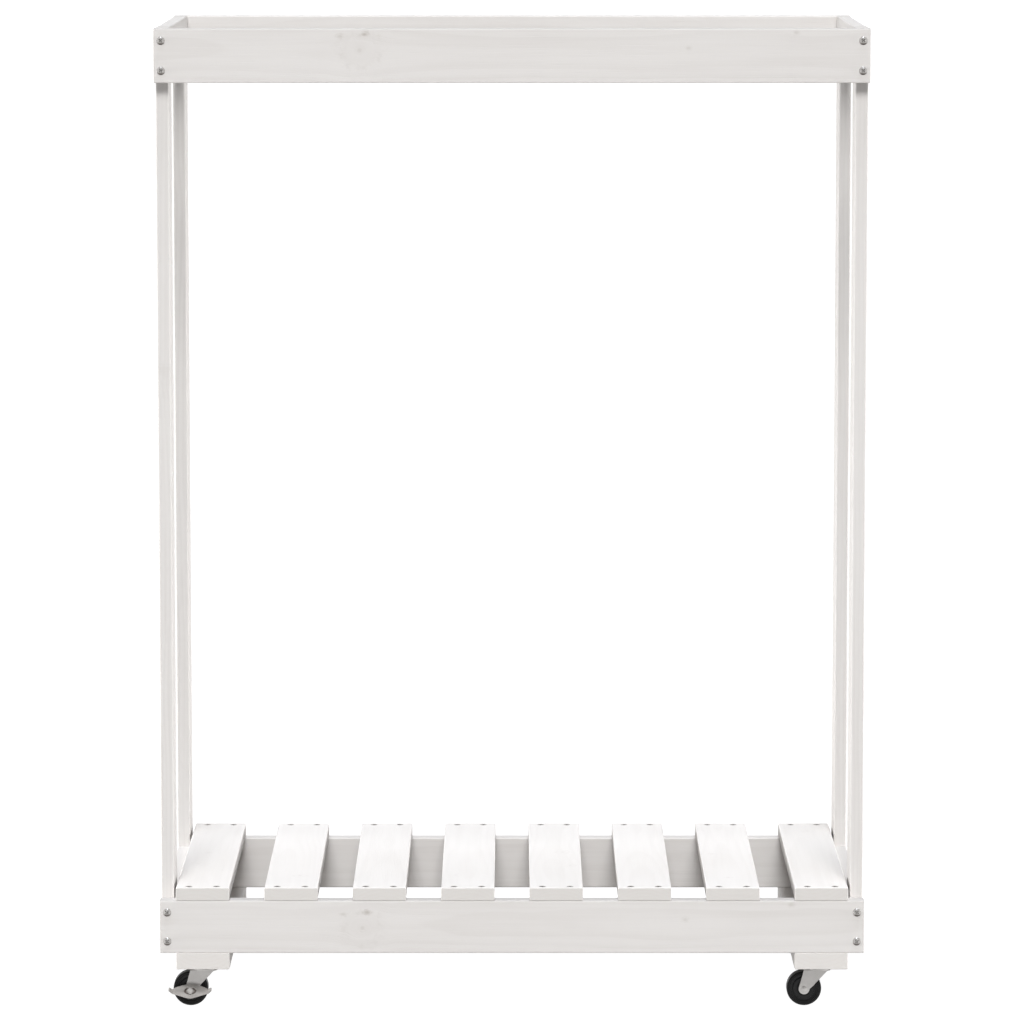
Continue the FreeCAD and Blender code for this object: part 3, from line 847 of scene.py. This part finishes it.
@dataclass
class Pressings:
    """The forks and brake levers, trimmed to their flowing outlines. Sizes are in millimetres.

    Args:
        nodes: The frame's objects.
        fork_edge: What is cut from a fork, as X from the king pin and height.
        lever_side: One side of a lever's upper edge, across and up from the axle.
        lever_reach: Where the cut through a lever starts and ends, along the axle.
        lever_slope: How far a lever leans back, in degrees.
        plate_half: Half the lever's height.
    """

    nodes: dict[str, bpy.types.Object]
    fork_edge: tuple[tuple[float, float], ...] = (
        (-5.4, 22.6), (-4.6, 24.4), (-2.0, 27.2), (0.9, 30.2), (5.2, 34.8), (7.8, 37.8), (9.2, 39.0),
        (11.0, 39.65), (16.0, 39.72), (16.0, 22.6),
    )
    fork_half: float = 13.0
    lever_side: tuple[tuple[float, float], ...] = (
        (28.0, 0.3), (20.0, 1.2), (15.5, 3.7), (11.0, 5.65), (6.5, 6.95), (3.0, 7.45),
    )
    lever_crest: float = 7.6
    lever_top: float = 14.0
    lever_reach: tuple[float, float] = (-0.35, 7.0)
    lever_slope: float = 45.0
    hub_gap: float = 0.3
    steel: float = 1.8
    plate_gap: float = 0.6
    plate_half: float = 11.0
    plate_steel: float = 1.2
    zinc: PlatedSteel = PlatedSteel("fork_zinc", (0.62, 0.602, 0.585), 0.40, 0.55, 0.2)
    lever: PlatedSteel = PlatedSteel("lever_zinc", (0.42, 0.402, 0.386), 0.40, 0.25, 0.25)

    def build(self) -> None:
        """Makes a fork at each corner, and a lever at those with a brake."""
        fork_steel = self.zinc.make()
        lever_steel = self.lever.make([self._axle(corner) for corner in BRAKED_CORNERS])
        for corner in CORNERS:
            plate_low, plate_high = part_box(f"{corner}_caster_plate")
            pivot = (plate_low + plate_high) / 2
            cutter = [[Vector((pivot.x, pivot.y, 0.0)) + Vector((x, y, z)) * MM for x, z in self.fork_edge]
                      for y in (-self.fork_half, self.fork_half)]
            fork = self._trim(f"{corner}_pressed_fork", f"{corner}_fork", cutter, fork_steel)
            stand_for(fork, f"{corner}_fork", f"{corner}_caster_swivel")
        tilt = Matrix.Rotation(math.radians(self.lever_slope), 3, "X")
        for corner in BRAKED_CORNERS:
            middle = self._axle(corner)
            cutter = [[middle + tilt @ Vector((x, y, z)) * MM for x, y in self._lever_outline()]
                      for z in self.lever_reach]
            lever = self._trim(f"{corner}_rocking_lever", f"{corner}_brake_lever", cutter, lever_steel)
            stand_for(lever, f"{corner}_brake_lever", f"{corner}_caster_brake")

    def _lever_outline(self) -> list[tuple[float, float]]:
        """Mirrors a lever's upper edge and closes the cut above it."""
        end = self.lever_side[0][0]
        return [*((-x, y) for x, y in self.lever_side), (0.0, self.lever_crest), *reversed(self.lever_side),
                (end, self.lever_top), (-end, self.lever_top)]

    def _axle(self, corner: str) -> Vector:
        """Gives the middle of a lever's plate, which the axle passes through."""
        low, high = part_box(f"{corner}_wheel")
        centre = (low + high) / 2
        slope = math.radians(self.lever_slope)
        leg = self.hub_gap + self.steel
        back = self.plate_gap + self.plate_half * math.cos(slope) + self.plate_steel * math.sin(slope)
        return Vector((centre.x, low.y - (leg + back) * MM, centre.z))

    def _trim(self, name: str, node: str, cutter: Sequence[Sequence[Vector]],
              material: bpy.types.Material) -> bpy.types.Object:
        """Copies a CAD piece and cuts a prism away from it.

        Args:
            name: The new piece's name.
            node: The CAD piece that it starts from.
            cutter: The prism's two ends, corner by corner.
            material: Its finish.

        Returns:
            The trimmed piece.
        """
        count = len(cutter[0])
        sides = [(i, (i + 1) % count, count + (i + 1) % count, count + i) for i in range(count)]
        knife = solid(f"{name}_knife", [*cutter[0], *cutter[1]],
                      [tuple(range(count)), tuple(range(count, 2 * count)), *sides], material)
        work = bmesh.new()
        work.from_mesh(self.nodes[node].data)
        bmesh.ops.remove_doubles(work, verts=work.verts, dist=WELD)
        mesh = bpy.data.meshes.new(name)
        work.to_mesh(mesh)
        work.free()
        piece = bpy.data.objects.new(name, mesh)
        bpy.context.scene.collection.objects.link(piece)
        cut = piece.modifiers.new("trim", "BOOLEAN")
        cut.operation, cut.solver, cut.object = "DIFFERENCE", "EXACT", knife
        trimmed = bpy.data.meshes.new_from_object(piece.evaluated_get(bpy.context.evaluated_depsgraph_get()))
        piece.modifiers.clear()
        piece.data = trimmed
        bpy.data.objects.remove(knife)
        trimmed.shade_smooth()
        trimmed.set_sharp_from_angle(angle=PRESSED_CREASE)
        trimmed.materials.clear()
        trimmed.materials.append(material)
        log.info("%s trimmed to %d faces", name, len(trimmed.polygons))
        return piece


@dataclass(frozen=True)
class Turning:
    """A ring turned about an axle that runs along Y.

    Args:
        name: The piece's name.
        corners: Radius, place along the axle and rounding of each corner, in millimetres.
        steps: Faces round the axle.
        arc: Faces round a corner.
    """

    name: str
    corners: tuple[tuple[float, float, float], ...]
    steps: int = 112
    arc: int = 5

    def outline(self) -> list[tuple[float, float]]:
        """Rounds the corners.

        Returns:
            The closed outline as radius and place along the axle.
        """
        points: list[tuple[float, float]] = []
        count = len(self.corners)
        for i, (r, w, rounding) in enumerate(self.corners):
            here = Vector((r, w))
            if not rounding:
                points.append((r, w))
                continue
            before = Vector(self.corners[i - 1][:2]) - here
            after = Vector(self.corners[(i + 1) % count][:2]) - here
            start = here + before.normalized() * rounding
            end = here + after.normalized() * rounding
            for step in range(self.arc + 1):
                t = step / self.arc
                point = start * (1 - t) ** 2 + here * 2 * t * (1 - t) + end * t ** 2
                points.append((point.x, point.y))
        return points

    def build(self, centre: Vector, material: bpy.types.Material) -> bpy.types.Object:
        """Turns the outline about the axle.

        Args:
            centre: The middle of the ring.
            material: Its finish.

        Returns:
            The piece.
        """
        outline = self.outline()
        count = len(outline)
        points = [centre + Vector((r * math.cos(turn), w, r * math.sin(turn))) * MM
                  for turn in (math.tau * step / self.steps for step in range(self.steps))
                  for r, w in outline]
        faces = []
        for step in range(self.steps):
            ahead = (step + 1) % self.steps
            for i in range(count):
                j = (i + 1) % count
                faces.append((step * count + i, step * count + j, ahead * count + j, ahead * count + i))
        return solid(self.name, points, faces, material)


def mirrored(half: Sequence[tuple[float, float, float]]) -> tuple[tuple[float, float, float], ...]:
    """Adds the other side of a wheel's outline.

    Args:
        half: The corners of one side.

    Returns:
        The corners of the whole outline.
    """
    return (*half, *((r, -w, rounding) for r, w, rounding in reversed(half)))


@dataclass
class Wheels:
    """The moulded wheel centres and their tread rings."""

    centre_outline: tuple[tuple[float, float, float], ...] = (
        (2.08, 8.90, 0.30), (5.20, 8.90, 0.50), (5.45, 6.50, 0.35), (7.10, 6.15, 0.30), (7.70, 6.50, 0.30),
        (12.05, 6.50, 0.35), (12.40, 4.80, 0.30), (14.30, 4.80, 0.30), (14.40, 7.20, 0.30),
        (15.57, 7.20, 0.20),
    )
    tyre_outline: tuple[tuple[float, float, float], ...] = (
        (15.62, 8.00, 0.30), (16.50, 8.00, 0.20), (16.75, 7.80, 0.15), (17.00, 8.00, 0.20),
        (19.00, 8.00, 2.10), (19.00, 0.35, 0.10), (18.85, 0.12, 0.0),
    )

    def build(self) -> None:
        """Makes both rings at each corner."""
        plastic = Moulded("moulded_plastic", grey(17), grey(40), 0.30, 2600.0).make()
        rubber = Moulded("tread_rubber", grey(16), grey(38), 0.40, 1700.0).make()
        for corner in CORNERS:
            low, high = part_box(f"{corner}_wheel")
            centre = (low + high) / 2
            body = f"{corner}_caster_wheel"
            hub = Turning(f"{corner}_wheel_centre", mirrored(self.centre_outline)).build(centre, plastic)
            stand_for(hub, f"{corner}_wheel", body)
            tread = Turning(f"{corner}_tread_ring", mirrored(self.tyre_outline)).build(centre, rubber)
            stand_for(tread, f"{corner}_tyre", body)


@dataclass
class RailScrews:
    """The domed screws in the long rails, each with a pressed cross recess. Sizes are in millimetres."""

    inset: float = 13.0
    head_radius: float = 4.45
    head_height: float = 2.55
    rim: float = 0.30
    seat_gap: float = 0.03
    shank_radius: float = 1.95
    shank: float = 46.0
    tip: float = 3.0
    tip_end: float = 3.1
    tip_radius: float = 0.3
    recess_reach: float = 2.3
    recess_half: float = 0.55
    recess_wall: float = 0.22
    recess_ramp: float = 0.9
    recess_depth: float = 1.5
    rings: int = 20
    crowding: float = 0.8
    sectors: int = 64

    def build(self) -> None:
        """Makes all sixteen as one piece."""
        # The screw heads carry painted shade on their lower sides.
        steel = PlatedSteel("bright_screw", (0.40, 0.385, 0.37), 0.25, 0.45, 0.15, 0.00015, 0.85).make()
        points: list[Vector] = []
        faces: list[tuple[int, ...]] = []
        for seat, outward, turn in self._seats():
            self._screw(points, faces, seat, outward, turn)
        piece = solid("rail_screw_heads", points, faces, steel)
        stand_for(piece, "rail_screws", "rack")

    def _seats(self) -> list[tuple[Vector, float, float]]:
        """Finds where each screw sits.

        Returns:
            The middle of each seat, the side that its head faces along Y, and its recess's turn.
        """
        dice = random.Random(77)
        seats = []
        for rail, outward in (("front_rail", -1.0), ("rear_rail", 1.0)):
            for level in ("bottom", "top"):
                low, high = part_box(f"{level}_{rail}")
                face = high.y if outward > 0 else low.y
                for side in ("left", "right"):
                    post_low, post_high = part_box(f"front_{side}_post")
                    x = (post_low.x + post_high.x) / 2
                    for z in (low.z + self.inset * MM, high.z - self.inset * MM):
                        seats.append((Vector((x, face, z)), outward, math.radians(dice.uniform(36.0, 54.0))))
        return seats

    def _height(self, r: float, bearing: float) -> float:
        """Gives the head's height above its seat, in millimetres.

        Args:
            r: The distance from the head's middle, in millimetres.
            bearing: The angle from an arm of the cross.

        Returns:
            The dome's height there, less the recess.
        """
        rise = self.head_height - self.rim
        ball = (self.head_radius ** 2 + rise ** 2) / (2 * rise)
        dome = math.sqrt(ball ** 2 - r ** 2) - ball + self.head_height
        u, v = abs(r * math.cos(bearing)), abs(r * math.sin(bearing))
        wide, slim = max(u, v), min(u, v)
        inside = min(1.0, max(0.0, (self.recess_half - slim) / self.recess_wall))
        inside *= min(1.0, max(0.0, (self.recess_reach - wide) / self.recess_ramp))
        return dome - self.recess_depth * inside

    def _screw(self, points: list[Vector], faces: list[tuple[int, ...]], seat: Vector, outward: float,
               turn: float) -> None:
        """Adds one screw to the lists.

        Args:
            points: The corners so far.
            faces: The faces so far.
            seat: The middle of its seat.
            outward: 1 where its head faces +Y, or -1.
            turn: How far its recess is turned.
        """
        start = len(points)

        def add(r: float, bearing: float, height: float) -> None:
            """Adds a corner at a radius, a bearing and a height above the seat."""
            step = Vector((r * math.cos(bearing), outward * height, r * math.sin(bearing)))
            points.append(seat + step * MM)

        add(0.0, 0.0, self._height(0.0, 0.0))
        bearings = [math.tau * i / self.sectors for i in range(self.sectors)]
        levels = [(self.head_radius * (i / self.rings) ** self.crowding, None)
                  for i in range(1, self.rings + 1)]
        levels += [(self.head_radius, self.seat_gap), (self.shank_radius, self.seat_gap),
                   (self.shank_radius, -self.shank), (self.tip_radius, -self.shank - self.tip)]
        for r, height in levels:
            for bearing in bearings:
                add(r, bearing, self._height(r, bearing - turn) if height is None else height)
        add(0.0, 0.0, -self.shank - self.tip_end)
        last = len(points) - 1
        for i in range(self.sectors):
            j = (i + 1) % self.sectors
            faces.append((start, start + 1 + i, start + 1 + j))
            for level in range(len(levels) - 1):
                near = start + 1 + level * self.sectors
                faces.append((near + i, near + self.sectors + i, near + self.sectors + j, near + j))
            rear = start + 1 + (len(levels) - 1) * self.sectors
            faces.append((rear + i, last, rear + j))


# ---------------------------------------------------------------- studio


@dataclass
class Studio:
    """A glowing white floor, a tent of soft light that is dimmer overhead, five suns and the camera."""

    floor_half: float = 150.0
    floor_tone: Colour = (0.08, 0.08, 0.08)
    floor_glow: float = 1.0
    wall: float = 0.45
    ceiling: float = 0.15
    below: float = 0.29
    under_deck: float = 0.14
    deck_half: tuple[float, float] = (0.42, 0.24)
    camera_place: tuple[float, float, float] = (0.0, -6.330, 1.3026)
    camera_pitch: float = 6.99
    lens: float = 201.7
    sensor: float = 36.0
    sight: float = 1000.0
    lamp_distance: float = 5.0

    def build(self) -> None:
        """Sets up the floor, the light and the camera."""
        self._floor()
        self._deck_shade()
        self._tent()
        self._sun("key_light", 38.5, 0.0, 22.0, 2.94, hidden=True)
        self._sun("top_light", 82.0, 0.0, 12.0, 1.36, (0.93, 1.0, 1.10))
        self._sun("right_light", 1.0, 90.0, 26.0, 3.40, hidden=True)
        self._sun("left_light", 1.0, -90.0, 26.0, 3.85, hidden=True)
        self._sun("rear_light", -3.0, 180.0, 8.0, 1.70, hidden=True)
        self._camera()

    @staticmethod
    def _sheet(name: str, wide: float, deep: float, paint: bpy.types.Material) -> bpy.types.Object:
        """Lays a flat sheet under the rack, from half its width and half its depth in metres."""
        mesh = bpy.data.meshes.new(name)
        mesh.from_pydata([(-wide, -deep, 0), (wide, -deep, 0), (wide, deep, 0), (-wide, deep, 0)],
                         [], [(0, 1, 2, 3)])
        sheet = bpy.data.objects.new(name, mesh)
        bpy.context.scene.collection.objects.link(sheet)
        mesh.materials.append(paint)
        return sheet

    def _floor(self) -> None:
        """Lays the floor that the casters stand on, which glows white and lights nothing matt."""
        paint = Graph("floor_paint").finish(Base_Color=self.floor_tone, Roughness=0.9,
                                            Emission_Color=(1.0, 1.0, 1.0), Emission_Strength=self.floor_glow)
        floor = self._sheet("studio_floor", self.floor_half, self.floor_half, paint)
        floor.visible_diffuse = floor.visible_shadow = False

    def _deck_shade(self) -> None:
        """Lays the unseen patch that lights the deck from below, as the shaded floor there does."""
        paint = Graph("deck_shade").finish(Base_Color=(0.0, 0.0, 0.0), Specular_IOR_Level=0.0,
                                           Emission_Color=(1.0, 0.93, 0.87), Emission_Strength=self.under_deck)
        patch = self._sheet("studio_deck_shade", *self.deck_half, paint)
        patch.visible_camera = patch.visible_glossy = False

    def _tent(self) -> None:
        """Fills the room with light whose strength follows its direction."""
        world = bpy.data.worlds.new("studio")
        world.use_nodes = True
        graph = Graph.around(world.node_tree)
        up = graph.parts(Signal(graph, graph.coordinates.outputs["Generated"]))[2]
        level = graph.remap(up, 0.70, 0.86, self.wall, self.ceiling)
        low = up.step(0.0, -0.03)
        level = level * (1.0 - low) + low * self.below
        backdrop = world.node_tree.nodes["Background"]
        backdrop.inputs["Color"].default_value = (1.0, 1.0, 1.0, 1.0)
        graph.wire(backdrop.inputs["Strength"], level)
        bpy.context.scene.world = world
        bpy.context.scene.view_settings.view_transform = "Standard"

    def _sun(self, name: str, height: float, turn: float, spread: float, power: float,
             tint: Colour = (1.0, 1.0, 1.0), hidden: bool = False) -> None:
        """Adds one distant light.

        Args:
            name: The light's name.
            height: Its angle above the floor, in degrees.
            turn: Its angle from straight in front, to the right, in degrees.
            spread: The angle that it fills, in degrees.
            power: Its strength.
            tint: Its colour.
            hidden: Whether polished metal shows no reflection of it.
        """
        data = bpy.data.lights.new(name, "SUN")
        data.energy = power
        data.color = tint
        data.angle = math.radians(spread)
        lamp = bpy.data.objects.new(name, data)
        lamp.visible_glossy = not hidden
        rise, side = math.radians(height), math.radians(turn)
        towards = Vector((math.cos(rise) * math.sin(side), -math.cos(rise) * math.cos(side), math.sin(rise)))
        lamp.rotation_euler = towards.to_track_quat("Z", "Y").to_euler()
        lamp.location = towards * self.lamp_distance
        bpy.context.scene.collection.objects.link(lamp)

    def _camera(self) -> None:
        """Sets the camera in front of the rack, a little above its rim."""
        data = bpy.data.cameras.new("camera")
        data.lens = self.lens
        data.sensor_width = self.sensor
        data.clip_end = self.sight
        camera = bpy.data.objects.new("camera", data)
        camera.location = self.camera_place
        camera.rotation_euler = (math.radians(90.0 - self.camera_pitch), 0.0, 0.0)
        bpy.context.scene.collection.objects.link(camera)
        bpy.context.scene.camera = camera


def main(frame: dict[str, Any]) -> None:
    """Builds the rack's looks in order.
    """
    nodes = frame["nodes"]
    Timber(nodes).build()
    Metalwork(nodes).build()
    Pressings(nodes).build()
    Wheels().build()
    RailScrews().build()
    Studio().build()


if __name__ == "__main__":
    logging.basicConfig(level=logging.INFO, format="%(name)s: %(message)s")
    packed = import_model()
    main(packed)
